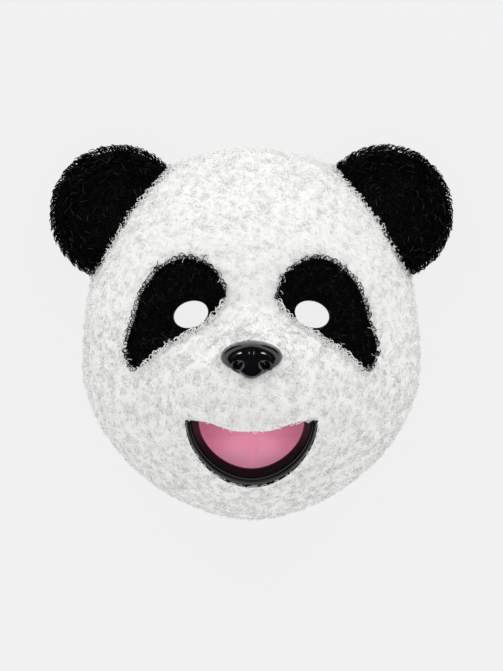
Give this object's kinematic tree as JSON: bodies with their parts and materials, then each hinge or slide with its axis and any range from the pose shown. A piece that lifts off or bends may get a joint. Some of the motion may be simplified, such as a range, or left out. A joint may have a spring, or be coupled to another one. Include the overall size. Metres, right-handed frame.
{
  "type": "panda mask",
  "caption": "Curly plush panda face mask on a moulded shell, with stuffed ears, eye holes, hard nose, smiling open mouth and elastic strap.",
  "frame": {"origin": "middle of the mask, on the surface that its rim rests on", "axes": "+Z out of the face, +Y to the crown of the head, +X to the right of someone who looks at the face"},
  "size_m": [0.25, 0.2406, 0.1123],
  "materials": {
    "shell": "matt moulded plastic",
    "white_plush": "white curly plush",
    "black_plush": "black curly plush",
    "black_gloss": "black gloss moulding",
    "pink_satin": "pink satin moulding",
    "white_elastic": "woven white elastic"
  },
  "bodies": {
    "root": {"face_shell": "shell", "face_plush": "white_plush", "eye_patch_left": "black_plush", "eye_patch_right": "black_plush", "ear_left": "black_plush", "ear_right": "black_plush", "nose": "black_gloss", "lip": "black_gloss", "mouth_lining": "pink_satin", "head_strap": "white_elastic"}
  },
  "joints": []
}
